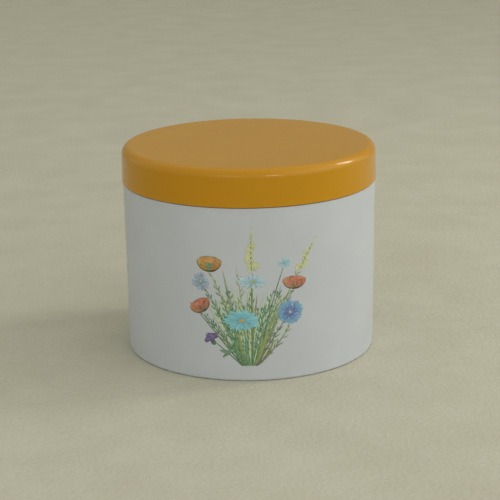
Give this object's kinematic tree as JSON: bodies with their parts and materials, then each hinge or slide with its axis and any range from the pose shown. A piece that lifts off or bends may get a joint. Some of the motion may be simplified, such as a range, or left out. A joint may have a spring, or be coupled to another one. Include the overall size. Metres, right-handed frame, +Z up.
{
  "type": "powder drum",
  "caption": "Round plastic powder drum with a slip lid, an inner powder bowl, a lift-out sifter plate and a ribbon-backed puff, with a printed wild-flower spray on the front.",
  "frame": {"origin": "middle of the base, on the surface that the drum stands on", "axes": "+Z up along the drum's axis, -Y towards the printed front, +X to the right as seen from the front"},
  "size_m": [0.102, 0.102, 0.0833],
  "materials": {
    "drum_plastic": "semi-matt moulded white plastic, with a printed spray of wild flowers on the front",
    "bowl_plastic": "translucent off-white moulded plastic",
    "talc": "fine loose powder",
    "sifter_plastic": "satin white moulded plastic",
    "puff_pile": "cream velour pile",
    "wadding": "cotton wadding",
    "satin": "cream satin",
    "piping_cord": "twisted ochre cord",
    "ribbon": "ochre grosgrain ribbon",
    "thread": "ochre sewing thread",
    "wad_board": "white-faced pulpboard",
    "lid_plastic": "yellow-ochre moulded plastic with a soft gloss"
  },
  "bodies": {
    "drum": {"drum_wall": "drum_plastic", "base_disc": "drum_plastic"},
    "bowl": {"powder_bowl": "bowl_plastic", "talc_fill": "talc"},
    "sifter": {"sifter_plate": "sifter_plastic"},
    "puff": {"puff_cover": "puff_pile", "puff_filling": "wadding", "puff_backing": "satin", "puff_piping": "piping_cord", "puff_strap": "ribbon", "strap_stitching": "thread"},
    "lid": {"lid_shell": "lid_plastic", "lid_wad": "wad_board"}
  },
  "joints": [
    {"name": "bowl_lift", "type": "slide", "parent": "drum", "child": "bowl", "axis": [0, 0, 1], "range_m": [0, 0.075]},
    {"name": "sifter_lift", "type": "slide", "parent": "bowl", "child": "sifter", "axis": [0, 0, 1], "range_m": [0, 0.03]},
    {"name": "puff_lift", "type": "slide", "parent": "sifter", "child": "puff", "axis": [0, 0, 1], "range_m": [0, 0.03]},
    {"name": "lid_lift", "type": "slide", "parent": "puff", "child": "lid", "axis": [0, 0, 1], "range_m": [0, 0.05]}
  ]
}
